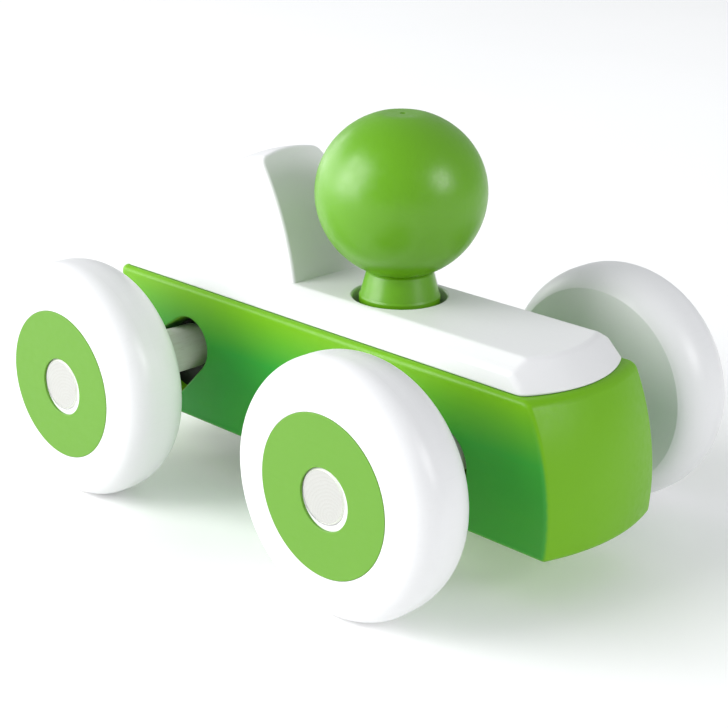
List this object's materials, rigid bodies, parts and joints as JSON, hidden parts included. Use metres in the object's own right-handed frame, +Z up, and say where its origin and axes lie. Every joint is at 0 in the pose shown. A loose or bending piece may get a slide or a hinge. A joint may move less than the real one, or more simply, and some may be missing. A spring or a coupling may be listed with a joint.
{
  "type": "pull back car",
  "caption": "Wooden pull-back racing car with a block body, tail cowl, ball driver, fat wheels and a spring motor on the rear axle.",
  "frame": {"origin": "on the floor under the middle of the car's length and width", "axes": "+X towards the nose, +Y to the car's left, +Z up; the wheels turn about Y"},
  "size_m": [0.1332, 0.093, 0.0834],
  "materials": {
    "green_paint": "satin water-based paint over fine-grained wood, slight orange peel, rounded edges",
    "white_paint": "satin white paint over fine-grained wood",
    "dowel_wood": "white-washed turned dowel, matt, with end grain at the tips",
    "bare_wood": "plain unfinished beech pins",
    "steel": "zinc-plated steel",
    "spring_steel": "blued spring strip",
    "case_plastic": "black moulded plastic, fine texture",
    "gear_plastic": "natural acetal, smooth"
  },
  "bodies": {
    "chassis": {"body_block": "green_paint", "deck": "white_paint", "tail_cowl": "white_paint", "deck_dowels": "bare_wood", "cowl_dowels": "bare_wood", "motor_case_left": "case_plastic", "motor_case_right": "case_plastic", "motor_screws": "steel", "idler_arbor": "steel", "spring_arbor": "steel", "mainspring": "spring_steel", "driver_washer": "steel"},
    "rear_axle_set": {"drive_shaft": "steel", "axle_gear": "gear_plastic", "rear_sleeve_left": "dowel_wood", "rear_sleeve_right": "dowel_wood", "wheel_rear_left": "white_paint", "wheel_rear_right": "white_paint", "hub_disc_rear_left": "green_paint", "hub_disc_rear_right": "green_paint"},
    "front_axle_set": {"front_axle": "dowel_wood", "wheel_front_left": "white_paint", "wheel_front_right": "white_paint", "hub_disc_front_left": "green_paint", "hub_disc_front_right": "green_paint"},
    "idler": {"idler_gear": "gear_plastic"},
    "barrel": {"spring_barrel": "gear_plastic", "barrel_lid": "gear_plastic"},
    "driver": {"driver_head": "green_paint", "driver_neck": "green_paint", "driver_screw": "steel"}
  },
  "joints": [
    {"name": "rear_axle_spin", "type": "hinge", "parent": "chassis", "child": "rear_axle_set", "pos_m": [-0.0416, 0, 0.025], "axis": [0, 1, 0], "continuous": true},
    {"name": "front_axle_spin", "type": "hinge", "parent": "chassis", "child": "front_axle_set", "pos_m": [0.0365, 0, 0.025], "axis": [0, 1, 0], "continuous": true},
    {"name": "idler_spin", "type": "hinge", "parent": "chassis", "child": "idler", "pos_m": [-0.0308, 0, 0.025], "axis": [0, 1, 0], "continuous": true},
    {"name": "barrel_spin", "type": "hinge", "parent": "chassis", "child": "barrel", "pos_m": [-0.0194, 0, 0.025], "axis": [0, 1, 0], "continuous": true},
    {"name": "driver_turn", "type": "hinge", "parent": "chassis", "child": "driver", "pos_m": [0.01095, 0, 0.0408], "axis": [0, 0, 1], "continuous": true}
  ],
  "couplings": [
    {"joint": "idler_spin", "follows": "rear_axle_spin", "ratio": -0.5},
    {"joint": "barrel_spin", "follows": "rear_axle_spin", "ratio": 0.17857}
  ]
}
